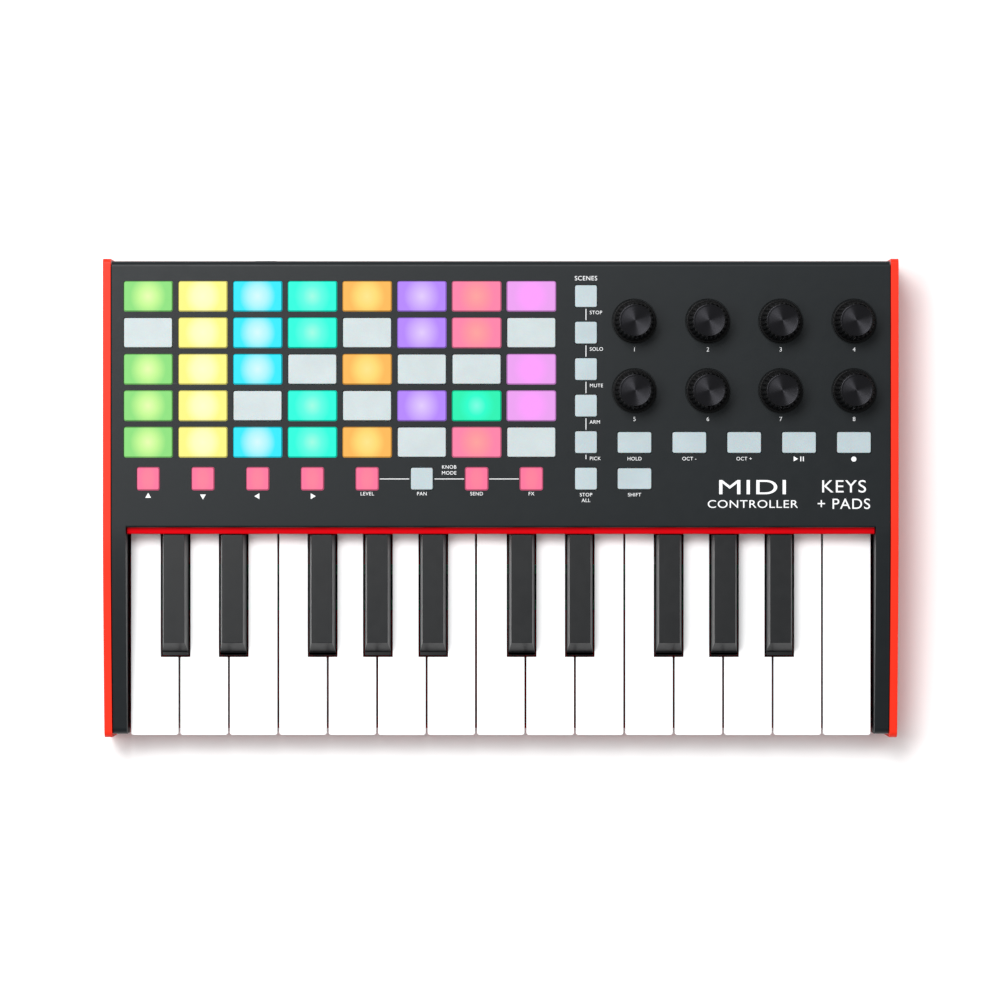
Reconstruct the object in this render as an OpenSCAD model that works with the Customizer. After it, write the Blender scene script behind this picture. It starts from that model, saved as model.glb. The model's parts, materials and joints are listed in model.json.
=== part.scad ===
// MIDI controller keyboard: 25 slim keys, pad grid, endless knobs and buttons.
// X runs along the keys, +Y points to the rear panel, +Z up, origin on the table under the middle.

/* [Case] */
// Overall width across both end cheeks
body_w = 310; // [300:1:330]
// Overall depth of the end cheeks
body_d = 187; // [186:1:190]
// Height of the control panel's top surface
panel_top = 29.5; // [29:0.5:32]
// Thickness of the control panel's skin
skin_t = 2.4; // [2:0.1:2.6]
// Thickness of the case walls
wall = 2; // [1.6:0.1:2.4]
// Thickness of each end cheek
cheek_t = 3; // [2.5:0.1:3.2]
// How far the arms and cheeks slope down to the front
front_drop = 6.5; // [3:0.5:8]
// Y of the control panel's front edge
panel_front = -11.3; // [-11.5:0.1:-11]

/* [Keys] */
// Distance from one white key to the next
key_pitch = 19.4; // [19.3:0.05:19.4]
// Gap between two white keys
key_gap = 0.8; // [0.6:0.1:1]
// Width of a black key at its base
black_w = 10.2; // [9.5:0.1:10.6]
// Width of a black key's top face
black_top_w = 8.1; // [7:0.1:9]
// Height of the white keys' top above the table
white_top = 18; // [17.5:0.5:18.5]
// Height of a black key above the white keys
black_rise = 8; // [6:0.5:8]

/* [Controls] */
// Spacing of the pad columns
pad_dx = 21.33; // [21:0.01:21.5]
// Spacing of the pad rows
pad_dy = 14.22; // [14:0.01:14.4]
// Width of a pad
pad_w = 18.7; // [17.5:0.1:19]
// Depth of a pad, front to rear
pad_d = 11.4; // [10.5:0.1:11.6]
// How far the pads and buttons stand above the panel
pad_proud = 0.9; // [0.5:0.1:1.5]
// Side of a square button
button_w = 8.5; // [8:0.1:8.8]
// Radius of a knob's skirt
knob_r = 8.4; // [7.5:0.1:8.4]
// Height of the knob tops above the table
knob_top = 41.5; // [38:0.5:44]

/* [Hidden] */
$fn = 48;
eps = 0.01;

// Case
half_w = body_w / 2;
half_d = body_d / 2;
cover_x = half_w - cheek_t - 0.3;     // outer face of the cover and the bottom case
arm_x = 146.2;                        // inner face of the arms beside the keys
arm_front = -92.2;
foot_h = 2;
floor_t = 2.2;
floor_top = foot_h + floor_t;
split_z = 8;                          // parting line of the two case halves
rear_y = half_d - 2.1;                // outer face of the rear wall
rear_wall = wall + 0.4;
lip_y = half_d - 0.9;                 // rear edge of the panel's skin
rail_y = -90.6;                       // front face of the rail under the keys
rail_top = 7.5;
skin_z = panel_top - skin_t;
slope_start = -15;                    // Y where the arms and cheeks begin to slope down

// Boards
pcb_t = 1.6;
board_z = 19.4;                       // underside of the control board
board_top = board_z + pcb_t;
board_front = -2;
board_rear = 87;
board_hx = 148;
io_z = 6.8;                           // underside of the rear socket board

// Keys
block_x = 145.1;                      // left and right ends of the row of white keys
white_n = 15;
key_front = -92.8;
pivot_y = 1;
pivot_z = 12;
rod_r = 1.5;
key_bore_r = rod_r + 0.05;
tail_rear = 8;
tail_z0 = 9.4;
tail_z1 = 17.5;
key_z0 = 12.5;                        // lower edge of the keys' side walls
skirt_z0 = 8;
plate_t = 1.8;
key_wall = 1.2;
black_front = -61.5;
black_rear = -14.2;
slot = black_w / 2 + 0.7;             // half of the slot that a black key stands in
dome_y = -35;
// Sideways shift of each black key from the gap it straddles: C, D, F, G and A sharp
sharp_shift = [-1.5, 1.9, 0, -2, 0.3, 2.6, 0];
has_sharp = [true, true, false, true, true, true, false];
note_names = ["c", "d", "e", "f", "g", "a", "b"];

// Controls
pad_x0 = -137.4;
pad_y0 = 78.8;
pad_cols = 8;
pad_rows = 5;
opening_gap = 0.3;
flange = 0.6;
control_bottom = board_top + 2.2;     // underside of the pads and buttons at rest
button_y = 7.7;
soft_x = 33.2;
rect_x0 = 52.1;
rect_dx = 21.37;
rect_y = 21.8;
rect_w = 13.1;
rect_d = 8.1;
knob_x = [52.1, 80.7, 109.1, 137.7];
knob_y = [69, 41.9];
shaft_r = 2.98;
bushing_r = 3.45;
encoder_h = 5.9;

// Rear sockets
usb_x = -118;
usb_w = 12;
usb_h = 10.8;
jack_x = -92;
jack_w = 15;
jack_h = 10.6;
jack_r = 3.2;
lock_x = 128;
socket_z = io_z + pcb_t;
socket_zc = socket_z + usb_h / 2;

// Screws: head and shank of the one size used throughout
head_r = 2.7;
head_h = 1.7;
screw_r = 1.25;
pilot_r = 1.3;
boss_r = 2.6;

// Fastener places
case_screws = [[-149.3, -86], [149.3, -86], [-149.3, -24], [149.3, -24],
               [25.1, 86.2], [147.2, 86.2], [25.1, 50.3], [123.4, 55.5]];
front_case_screws = [for (p = case_screws) if (p[1] < 0) p];
rear_case_screws = [for (p = case_screws) if (p[1] > 0) p];
board_screws = [[-126.7, 12.6], [-62.7, 12.6], [1.2, 12.6], [25.1, 66], [94.9, 55.5],
                [62.7, 31.4], [137.7, 31.4]];
chassis_screws = [[-100, -76], [100, -76], [-100, 11.5], [100, 11.5]];
io_screws = [[-105.4, 66], [-128.5, 66]];
foot_places = [[-132, -74], [132, -74], [-132, 76], [132, 76]];
peg_ys = [-70, 30, 78];
peg_r = 1.9;

white_at = function(i) -block_x + i * key_pitch;
gap_at = function(i) white_at(i) + key_pitch - key_gap / 2;
sharp_x = function(i) gap_at(i) + sharp_shift[i % 7];
// True where a black key stands after white key i
sharp_after = function(i) i >= 0 && i < white_n - 1 && has_sharp[i % 7];
octave = function(i) floor(i / 7) + 1;

// Every key from left to right as [is_black, white index]
keys = [for (i = [0:white_n - 1]) for (b = [0, 1]) if (b == 0 || sharp_after(i)) [b == 1, i]];
key_name = function(k) str("key_", note_names[k[1] % 7], k[0] ? "_sharp_" : "_", octave(k[1]));
// Left and right edges of a key's tail
tail_left = function(k) k[0] ? sharp_x(k[1]) - black_w / 2
    : sharp_after(k[1] - 1) ? sharp_x(k[1] - 1) + slot : white_at(k[1]);
tail_right = function(k) k[0] ? sharp_x(k[1]) + black_w / 2
    : sharp_after(k[1]) ? sharp_x(k[1]) - slot : white_at(k[1]) + key_pitch - key_gap;
tail_mid = function(k) (tail_left(k) + tail_right(k)) / 2;

square_buttons = [for (c = [0:pad_cols - 1]) [pad_x0 + c * pad_dx, button_y]];
soft_buttons = concat([for (r = [0:pad_rows - 1]) [soft_x, pad_y0 - r * pad_dy]], [[soft_x, button_y]]);
// The row of wide buttons, and the shift button in front of its left end
rect_buttons = concat([for (c = [0:4]) [rect_x0 + c * rect_dx, rect_y]], [[rect_x0, button_y]]);
knobs = [for (y = knob_y) for (x = knob_x) [x, y]];
pad_places = function(r) [for (c = [0:pad_cols - 1]) [pad_x0 + c * pad_dx, pad_y0 - r * pad_dy]];

// Points of an arc from angle a0 to a1
function arc(cx, cy, r, a0, a1, n = 8) =
    [for (i = [0:n]) let (a = a0 + (a1 - a0) * i / n) [cx + r * cos(a), cy + r * sin(a)]];

// A box given by its lowest and highest corners
module span(lo, hi) {
    translate(lo) cube(hi - lo);
}

// A rectangle with rounded corners, centred
module rounded_rect(w, d, r) {
    square([w - 2 * r, d], center = true);
    square([w, d - 2 * r], center = true);
    for (sx = [-1, 1]) for (sy = [-1, 1]) translate([sx * (w / 2 - r), sy * (d / 2 - r)]) circle(r);
}

// Extrudes a profile drawn as [y, z] points along X, from x0 to x1
module along_x(x0, x1, points) {
    translate([x0, 0, 0]) rotate([90, 0, 90]) linear_extrude(x1 - x0) polygon(points);
}

// Places its children at each point of a list, at height z
module at_points(points, z) {
    for (p = points) translate([p[0], p[1], z]) children();
}

// ---- Case ----

// Height of the sloping top edge at a place along Y
function arm_height(y) = y > slope_start ? panel_top
    : panel_top - front_drop * pow((slope_start - y) / (slope_start + half_d), 1.3);

// Top edge of an arm or cheek from rear to front, raised by rise
function slope_points(front, rise, n = 10) =
    [for (i = [0:n]) let (y = slope_start + (front - slope_start) * i / n) [y, arm_height(y) + rise]];

// Clearance around the USB socket, cut through the rear wall
module usb_mouth() {
    gap = 0.3;
    span([usb_x - usb_w / 2 - gap, rear_y - 4, socket_z - 0.4],
         [usb_x + usb_w / 2 + gap, rear_y + 1, socket_z + usb_h + gap]);
}

module bottom_case() {
    floor_hole_r = 1.7;
    counterbore_z = floor_top + 0.4;
    color([0.8, 0.07, 0.05]) difference() {
        union() {
            span([-cover_x, rail_y, foot_h], [cover_x, rear_y, floor_top]);
            span([-cover_x, rear_y - rear_wall, foot_h], [cover_x, rear_y, split_z]);
            span([-arm_x, rail_y, foot_h], [arm_x, rail_y + wall, rail_top]);
            for (side = [0, 1]) mirror([side, 0, 0]) {
                span([cover_x - wall, arm_front, foot_h], [cover_x, rear_y, split_z]);
                span([arm_x, arm_front, foot_h], [cover_x, arm_front + 3.6, split_z]);
            }
            at_points(case_screws, foot_h) cylinder(h = split_z - 0.1 - foot_h, r = boss_r + 0.8);
            at_points(chassis_screws, foot_h) cylinder(h = 4.8 - foot_h, r = 3.6);
            at_points(io_screws, foot_h) cylinder(h = io_z - foot_h, r = 3);
        }
        // trims the screw collars that stand beyond the side walls
        for (side = [0, 1]) mirror([side, 0, 0]) span([cover_x, -100, -1], [cover_x + 5, 100, 30]);
        at_points(case_screws, -1) cylinder(h = 20, r = floor_hole_r);
        at_points(case_screws, -1) cylinder(h = counterbore_z + 1, r = head_r + 0.3);
        at_points(chassis_screws, foot_h + 1) cylinder(h = 10, r = pilot_r);
        at_points(io_screws, foot_h + 1) cylinder(h = 10, r = pilot_r);
        usb_mouth();
        // ventilation slots
        for (n = [-4:4]) translate([60 + n * 7, 50, 0]) linear_extrude(10) rounded_rect(2.4, 30, 1.1);
    }
}

// Panel and side walls of the cover before its openings are cut
module cover_shell() {
    rear_r = 2.2;
    front_r = 0.8;
    underside = [[panel_front, skin_z], [lip_y, skin_z]];
    rear_edge = arc(lip_y - rear_r, panel_top - rear_r, rear_r, 0, 90);
    // panel with a rounded front edge over the keys and a square one over the key blocks
    along_x(-arm_x, arm_x, concat(underside, rear_edge,
        arc(panel_front + front_r, panel_top - front_r, front_r, 90, 180)));
    for (side = [0, 1]) mirror([side, 0, 0]) {
        along_x(arm_x, cover_x, concat(underside, rear_edge, [[panel_front, panel_top]]));
        span([cover_x - wall, panel_front, split_z], [cover_x, rear_y, skin_z + 1]);
    }
}

module top_cover() {
    color([0.16, 0.17, 0.18]) difference() {
        union() {
            cover_shell();
            at_points(rear_case_screws, split_z) cylinder(h = skin_z - split_z + 0.5, r = boss_r);
            at_points(board_screws, board_top) cylinder(h = skin_z - board_top + 0.5, r = boss_r);
        }
        at_points(rear_case_screws, 5) cylinder(h = 16, r = pilot_r);
        at_points(board_screws, board_top - 1) cylinder(h = 6, r = pilot_r);
        for (r = [0:pad_rows - 1]) at_points(pad_places(r), skin_z - 1) linear_extrude(skin_t + 2)
            rounded_rect(pad_w + 2 * opening_gap, pad_d + 2 * opening_gap, 0.9);
        at_points(concat(square_buttons, soft_buttons), skin_z - 1) linear_extrude(skin_t + 2)
            rounded_rect(button_w + 2 * opening_gap, button_w + 2 * opening_gap, 0.9);
        at_points(rect_buttons, skin_z - 1) linear_extrude(skin_t + 2)
            rounded_rect(rect_w + 2 * opening_gap, rect_d + 2 * opening_gap, 0.9);
        at_points(knobs, skin_z - 1) cylinder(h = 10, r = bushing_r + 0.3);
        at_points(knobs, panel_top - 0.8) cylinder(h = 10, r = knob_r + 0.5);
        for (side = [0, 1]) mirror([side, 0, 0]) cheek_pegs(peg_r + 0.1);
    }
}

// Wall under the panel's rear edge with the USB mouth, the jack's hole and the lock slot
module rear_panel() {
    color([0.16, 0.17, 0.18]) difference() {
        span([-cover_x + wall, rear_y - rear_wall, split_z], [cover_x - wall, rear_y, skin_z]);
        usb_mouth();
        translate([jack_x, rear_y - 4, socket_zc]) rotate([-90, 0, 0]) cylinder(h = 6, r = 5.7);
        translate([lock_x, rear_y - 4, socket_zc]) rotate([-90, 0, 0]) linear_extrude(6)
            rounded_rect(7, 3, 1);
    }
}

// Hollow block at the right end of the keys, sloping down to the front
module key_block() {
    front_r = 3;
    side_wall = 1.5;
    color([0.16, 0.17, 0.18]) difference() {
        union() {
            difference() {
                along_x(arm_x, cover_x, concat(
                    [[panel_front, split_z], [panel_front, panel_top]],
                    slope_points(arm_front + front_r, 0),
                    arc(arm_front + front_r, arm_height(arm_front + front_r) - front_r, front_r, 90, 180),
                    [[arm_front, split_z]]));
                span([arm_x + side_wall, arm_front + wall, split_z - 1],
                     [cover_x - wall, panel_front - side_wall, panel_top - front_drop - 2.2]);
            }
            intersection() {
                at_points(front_case_screws, split_z) cylinder(h = 13.7, r = boss_r);
                span([arm_x, arm_front, 0], [cover_x, panel_front, panel_top]);
            }
        }
        at_points(front_case_screws, 5) cylinder(h = 16, r = pilot_r);
        cheek_pegs(peg_r + 0.1);
    }
}

module key_blocks() {
    key_block();
    mirror([1, 0, 0]) key_block();
}

// Pegs on the cheeks that plug into the cover's side walls and the key blocks
module cheek_pegs(r) {
    for (y = peg_ys) translate([half_w - cheek_t - 3, y, 14]) rotate([0, 90, 0]) cylinder(h = 4, r = r);
}

module cheek() {
    rise = 0.9;
    r = 2;
    top_rear = panel_top + rise;
    front_y = -half_d;
    color([0.98, 0.2, 0.12]) {
        along_x(half_w - cheek_t, half_w, concat(
            arc(half_d - r, 1 + r, r, -90, 0), arc(half_d - r, top_rear - r, r, 0, 90),
            slope_points(front_y + 3, rise),
            arc(front_y + 3, arm_height(front_y + 3) + rise - 3, 3, 90, 180),
            arc(front_y + r, 1 + r, r, 180, 270)));
        cheek_pegs(peg_r);
    }
}

module right_cheek() {
    cheek();
}

module left_cheek() {
    mirror([1, 0, 0]) cheek();
}

module key_trim() {
    fascia_z0 = white_top + 1.2;
    fascia_z1 = skin_z - 0.4;
    color([0.8, 0.05, 0.07]) along_x(-arm_x + 0.2, arm_x - 0.2, concat(
        [[-12.2, fascia_z0], [-12.2, 25], [-6, 25], [-6, skin_z], [-11.4, skin_z]],
        arc(-13.1, fascia_z1 - 0.8, 0.8, 90, 180, 4), [[-13.9, fascia_z0]]));
}

module rubber_feet() {
    color([0.1, 0.1, 0.1]) at_points(foot_places, 0) rotate_extrude()
        polygon([[0, 0], [6.4, 0], [7, 0.6], [7, foot_h], [0, foot_h]]);
}

// One pan-head screw with its head's top at z = 0 and its shank upwards
module screw(shank = 8) {
    difference() {
        union() {
            cylinder(h = head_h, r = head_r);
            translate([0, 0, head_h - eps]) cylinder(h = shank, r = screw_r);
        }
        for (a = [0, 90]) rotate([0, 0, a]) span([-1.5, -0.3, -1], [1.5, 0.3, 0.7]);
    }
}

module screws() {
    color([0.6, 0.6, 0.62]) {
        at_points(case_screws, floor_top + 0.4 - head_h) screw();
        at_points(board_screws, board_z - head_h) screw(5);
        at_points(chassis_screws, 6 + head_h) mirror([0, 0, 1]) screw(2.6);
        at_points(io_screws, socket_z + head_h) mirror([0, 0, 1]) screw(4.8);
    }
}

// ---- Key bed ----

module key_chassis() {
    plate_z = 4.8;
    plate_top = 6;
    plate_x = 145.6;
    rib_t = 1.2;
    rib_xs = concat([tail_left(keys[0]) + 0.9 - 1.25],
        [for (n = [1:len(keys) - 1]) (tail_right(keys[n - 1]) + tail_left(keys[n])) / 2],
        [tail_right(keys[len(keys) - 1]) - 0.9 + 1.25]);
    color([0.75, 0.06, 0.05]) difference() {
        union() {
            span([-plate_x, -87.6, plate_z], [plate_x, 14.6, plate_top]);
            span([-144.6, 4.4, plate_z], [144.6, 8.6, 8.4]);
            for (x = rib_xs) span([x - rib_t / 2, -2.6, plate_z], [x + rib_t / 2, 4.6, 15]);
        }
        translate([-150, pivot_y, pivot_z]) rotate([0, 90, 0]) cylinder(h = 300, r = rod_r + 0.02);
        at_points(chassis_screws, 0) cylinder(h = 10, r = 1.7);
        // passages for the ribbon cable and openings that lighten the plate
        for (n = [-5:5]) span([n * 26 - 9, -74, 0], [n * 26 + 9, -50, 10]);
        span([54, -25.6, 0], [66, -23, 10]);
    }
}

module key_pivot_rod() {
    color([0.75, 0.75, 0.78]) translate([-block_x - 0.3, pivot_y, pivot_z]) rotate([0, 90, 0])
        cylinder(h = 2 * block_x + 0.6, r = rod_r);
}

module key_contact_strip() {
    color([0.25, 0.25, 0.27]) {
        span([-142.5, -40, 6 + pcb_t], [142.5, -30, 8.4]);
        for (k = keys) translate([tail_mid(k), dome_y, 8.3]) cylinder(h = 2, r1 = 3.4, r2 = 2.4);
    }
}

module key_felts() {
    color([0.5, 0.1, 0.1]) {
        span([-144, -86, 6], [144, -80, 8]);
        span([-144, 4.8, 8.4], [144, 8.2, tail_z0 - 0.05]);
    }
}

// Bar at a key's rear that the rod passes through, and the plunger that meets the contact dome
module key_tail(k, plunger_top) {
    shoulder_y = -5;
    difference() {
        union() {
            span([tail_left(k), -18, tail_z0], [tail_right(k), shoulder_y, tail_z1]);
            span([tail_left(k) + 0.9, shoulder_y - 1, tail_z0], [tail_right(k) - 0.9, tail_rear, tail_z1]);
        }
        translate([tail_left(k) - 1, pivot_y, pivot_z]) rotate([0, 90, 0]) cylinder(h = 25, r = key_bore_r);
    }
    span([tail_mid(k) - 2.6, dome_y - 2.6, key_z0], [tail_mid(k) + 2.6, dome_y + 2.6, plunger_top]);
}

module white_key(k) {
    x0 = white_at(k[1]);
    x1 = x0 + key_pitch - key_gap;
    notch_y = black_front - 0.7;
    corner_r = 1;
    color([0.97, 0.97, 0.97]) {
        difference() {
            union() {
                translate([0, 0, key_z0]) linear_extrude(white_top - key_z0) polygon(concat(
                    arc(x0 + corner_r, key_front + corner_r, corner_r, 180, 270, 5),
                    arc(x1 - corner_r, key_front + corner_r, corner_r, 270, 360, 5),
                    [[x1, notch_y], [tail_right(k), notch_y], [tail_right(k), -12.4],
                     [tail_left(k), -12.4], [tail_left(k), notch_y], [x0, notch_y]]));
                translate([0, 0, skirt_z0]) linear_extrude(6) polygon(concat(
                    arc(x0 + corner_r, key_front + corner_r, corner_r, 180, 270, 5),
                    arc(x1 - corner_r, key_front + corner_r, corner_r, 270, 360, 5),
                    [[x1, key_front + 1.5], [x0, key_front + 1.5]]));
            }
            span([x0 + key_wall, key_front + 1.5, 0],
                 [x1 - key_wall, notch_y - key_wall, white_top - plate_t]);
            span([tail_left(k) + key_wall, notch_y - 5, 0],
                 [tail_right(k) - key_wall, -18, white_top - plate_t]);
        }
        key_tail(k, white_top - 0.8);
    }
}

module black_key(k) {
    x = sharp_x(k[1]);
    top = white_top + black_rise;
    base_z = white_top + 0.5;
    color([0.13, 0.13, 0.14]) {
        difference() {
            union() {
                span([x - black_w / 2, black_front, key_z0], [x + black_w / 2, black_rear, base_z]);
                translate([x, black_rear, 0]) rotate([90, 0, 0])
                    linear_extrude(black_rear - black_front - 1.3) polygon([
                        [-black_w / 2, base_z - eps], [black_w / 2, base_z - eps],
                        [black_top_w / 2, top], [-black_top_w / 2, top]]);
            }
            // sloping front face
            along_x(x - black_w, x + black_w,
                [[-60.2, base_z], [-56.4, top], [-56.4, top + 1], [-64, top + 1], [-64, base_z]]);
            span([x - 3.2, black_front + 7.5, 0], [x + 3.2, -18, top - 2.5]);
        }
        key_tail(k, top - 2);
    }
}

module piano_key(k) {
    if (k[0]) black_key(k);
    else white_key(k);
}

// ---- Boards and sockets ----

// Board under the pads, buttons and encoders
module control_board() {
    difference() {
        union() {
            span([-board_hx, board_front, board_z], [board_hx, board_rear, board_top]);
            // lamps under the pads and buttons
            for (r = [0:pad_rows - 1]) at_points(pad_places(r), board_top - eps)
                span([-1.6, -1.4, 0], [1.6, 1.4, 0.8]);
            at_points(square_buttons, board_top - eps) span([-1, -1, 0], [1, 1, 0.7]);
            // controller chip
            span([60, 58, board_z - 1.2], [70, 68, board_z + eps]);
        }
        at_points(rear_case_screws, 0) cylinder(h = 40, r = boss_r + 0.4);
        at_points(board_screws, 0) cylinder(h = 40, r = pilot_r + 0.2);
    }
}

module encoders() {
    half_body = 5.6;
    color([0.45, 0.45, 0.48]) at_points(knobs, board_top) difference() {
        union() {
            span([-half_body, -half_body, 0], [half_body, half_body, encoder_h]);
            cylinder(h = panel_top - 0.6 - board_top, r = bushing_r);
        }
        translate([0, 0, 1]) cylinder(h = 20, r = shaft_r + 0.05);
    }
}

// Sheet with the holes that the pads or buttons stand in
module silicone_mats() {
    t = 0.8;
    hole = 2 * flange + 0.8;
    color([0.8, 0.82, 0.82]) difference() {
        translate([0, 0, board_top]) {
            span([-147.8, 15, 0], [22.2, 85.8, t]);
            span([-147.8, 1.2, 0], [18, 9.6 + 3, t]);
            span([27.8, 2, 0], [38.6, 85, t]);
            span([43.4, 15.6, 0], [146, 28, t]);
            span([43.4, 1.8, 0], [60.8, 13.8, t]);
        }
        for (r = [0:pad_rows - 1]) at_points(pad_places(r), 0)
            linear_extrude(40) square([pad_w + hole, pad_d + hole], center = true);
        at_points(concat(square_buttons, soft_buttons), 0)
            linear_extrude(40) square(button_w + hole, center = true);
        at_points(rect_buttons, 0) linear_extrude(40) square([rect_w + hole, rect_d + hole], center = true);
        at_points(board_screws, 0) cylinder(h = 40, r = boss_r + 0.4);
    }
}

// Board that carries the rear sockets
module io_board() {
    difference() {
        span([-132, 62, io_z], [-80, 88.6, io_z + pcb_t]);
        at_points(io_screws, 0) cylinder(h = 20, r = 1.7);
    }
}

// The control board, the key contact board and the rear socket board
module circuit_boards() {
    color([0.1, 0.35, 0.18]) {
        control_board();
        io_board();
        span([-143, -44, 6], [143, -26, 6 + pcb_t]);
    }
}

module usb_socket() {
    mouth_y = rear_y + 0.4;
    shell_t = 0.8;
    color([0.7, 0.71, 0.73]) difference() {
        span([usb_x - usb_w / 2, mouth_y - 16, socket_z],
             [usb_x + usb_w / 2, mouth_y, socket_z + usb_h]);
        // mouth around its tongue
        difference() {
            translate([usb_x, mouth_y - 9.5, socket_zc]) rotate([-90, 0, 0]) linear_extrude(12)
                square([8.5 + shell_t, 7.8 + shell_t], center = true);
            translate([usb_x, mouth_y - 10, socket_zc]) rotate([-90, 0, 0]) linear_extrude(5.2)
                square([5.6, 3.2], center = true);
        }
    }
}

module sustain_jack() {
    collar_r = 5.4;
    nut_t = 1.7;
    body_y = 63;
    color([0.12, 0.12, 0.13]) difference() {
        union() {
            span([jack_x - jack_w / 2, body_y, socket_z],
                 [jack_x + jack_w / 2, rear_y - wall - 0.7, socket_z + jack_h]);
            translate([jack_x, rear_y - wall - 1, socket_zc]) rotate([-90, 0, 0])
                cylinder(h = wall + 1 + nut_t, r = collar_r);
            translate([jack_x, rear_y, socket_zc]) rotate([-90, 0, 0])
                cylinder(h = nut_t, r = 7.2, $fn = 6);
        }
        translate([jack_x, body_y + 2, socket_zc]) rotate([-90, 0, 0]) cylinder(h = 40, r = jack_r);
    }
}

// A flat cable of width w centred on x, as straight stretches through [y, z] points
module ribbon(x, w, points) {
    t = 0.15;
    for (i = [0:len(points) - 2]) {
        a = points[i];
        b = points[i + 1];
        span([x - w / 2, min(a[0], b[0]) - t, min(a[1], b[1]) - t],
             [x + w / 2, max(a[0], b[0]) + t, max(a[1], b[1]) + t]);
    }
}

module ribbon_cables() {
    color([0.85, 0.85, 0.82]) {
        ribbon(60, 10, [[-25.8, 6.8], [-24.3, 6.8], [-24.3, 4.5], [18, 4.5], [18, board_z - 0.2]]);
        ribbon(-112, 10, [[61.8, 7.6], [58, 7.6], [58, board_z - 0.2]]);
    }
}

// ---- Knobs, pads and buttons ----

module knob(p) {
    flutes = 24;
    base_z = panel_top - 0.4;
    skirt_h = 1.5;
    body_z = base_z + skirt_h;
    grip_r0 = knob_r - 0.6;
    grip_r1 = 6.7;
    rim_h = 0.8;
    rim_z = knob_top - rim_h;
    translate([p[0], p[1], 0]) {
        color([0.08, 0.08, 0.09]) difference() {
            union() {
                translate([0, 0, base_z]) cylinder(h = skirt_h, r = knob_r);
                translate([0, 0, body_z - eps]) cylinder(h = rim_z - body_z, r1 = grip_r0, r2 = grip_r1);
                translate([0, 0, rim_z - 2 * eps]) cylinder(h = rim_h + 2 * eps, r1 = grip_r1, r2 = 6.1);
            }
            for (n = [0:flutes - 1]) rotate([0, 0, n * 360 / flutes])
                translate([grip_r0 + 0.35, 0, body_z]) rotate([0, -5.3, 0])
                    cylinder(h = 14, r = 0.6, $fn = 16);
            translate([0, 0, base_z - 1]) cylinder(h = 4, r = 5.6);
            translate([0, 0, base_z]) cylinder(h = knob_top - 2 - base_z, r = shaft_r + 0.02);
        }
        color([0.6, 0.6, 0.62]) translate([0, 0, board_top + 1.2])
            cylinder(h = knob_top - 2.5 - board_top - 1.2, r = shaft_r);
    }
}

// A translucent silicone button: a top that fills its opening on a wider flange
module key_cap(w, d) {
    top = panel_top + pad_proud;
    flange_top = skin_z - 0.2;
    difference() {
        union() {
            translate([0, 0, control_bottom]) linear_extrude(flange_top - control_bottom)
                rounded_rect(w + 2 * flange, d + 2 * flange, 0.9);
            translate([0, 0, control_bottom]) linear_extrude(top - control_bottom) rounded_rect(w, d, 0.7);
        }
        translate([0, 0, control_bottom - 1]) linear_extrude(flange_top - control_bottom - 0.8)
            rounded_rect(w - 3, d - 3, 0.7);
    }
}

module pad_row(r) {
    color([0.83, 0.87, 0.87]) at_points(pad_places(r), 0) key_cap(pad_w, pad_d);
}

module track_buttons() {
    color([0.95, 0.4, 0.5]) at_points(square_buttons, 0) key_cap(button_w, button_w);
}

module soft_buttons() {
    color([0.8, 0.85, 0.85]) at_points(soft_buttons, 0) key_cap(button_w, button_w);
}

module function_buttons() {
    color([0.8, 0.85, 0.85]) at_points(rect_buttons, 0) key_cap(rect_w, rect_d);
}

bottom_case();
top_cover();
rear_panel();
key_blocks();
left_cheek();
right_cheek();
key_trim();
key_chassis();
key_pivot_rod();
key_contact_strip();
key_felts();
circuit_boards();
encoders();
silicone_mats();
usb_socket();
sustain_jack();
ribbon_cables();
rubber_feet();
screws();
for (k = keys) piano_key(k);
for (n = [1:8]) knob(knobs[n - 1]);
for (r = [1:pad_rows]) pad_row(r - 1);
track_buttons();
soft_buttons();
function_buttons();
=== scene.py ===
"""Looks of a compact keyboard controller: slim keys, lit pads, endless knobs and small buttons."""
import enum
import json
import logging
import math
from collections.abc import Callable
from dataclasses import dataclass, field

import bpy
from mathutils import Matrix, Vector


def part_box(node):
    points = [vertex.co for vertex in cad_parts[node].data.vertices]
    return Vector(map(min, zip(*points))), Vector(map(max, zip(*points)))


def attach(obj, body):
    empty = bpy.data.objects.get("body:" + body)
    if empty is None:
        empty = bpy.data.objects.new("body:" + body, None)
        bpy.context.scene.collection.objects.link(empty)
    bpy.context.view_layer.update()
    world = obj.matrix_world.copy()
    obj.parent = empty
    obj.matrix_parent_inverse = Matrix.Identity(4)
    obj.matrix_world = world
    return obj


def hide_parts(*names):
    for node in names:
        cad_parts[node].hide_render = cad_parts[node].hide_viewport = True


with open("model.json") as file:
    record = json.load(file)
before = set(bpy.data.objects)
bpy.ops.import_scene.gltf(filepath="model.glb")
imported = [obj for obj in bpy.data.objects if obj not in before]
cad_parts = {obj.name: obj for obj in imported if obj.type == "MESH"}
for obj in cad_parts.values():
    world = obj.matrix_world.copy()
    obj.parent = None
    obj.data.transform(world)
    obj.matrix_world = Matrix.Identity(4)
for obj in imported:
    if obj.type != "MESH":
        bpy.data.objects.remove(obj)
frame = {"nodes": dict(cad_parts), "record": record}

MM = 0.001
KNOB_COUNT = 8
CAPITAL_SHARE = 0.69  # height of a capital letter in a font of size one
LOG = logging.getLogger("keyboard")
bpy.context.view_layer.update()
Color = tuple[float, float, float]


# ---------------------------------------------------------------- modelling helpers


def deselect_all() -> None:
    """Leaves object mode clean, with nothing selected."""
    if bpy.context.object and bpy.context.object.mode != "OBJECT":
        bpy.ops.object.mode_set(mode="OBJECT")
    bpy.ops.object.select_all(action="DESELECT")


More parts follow.
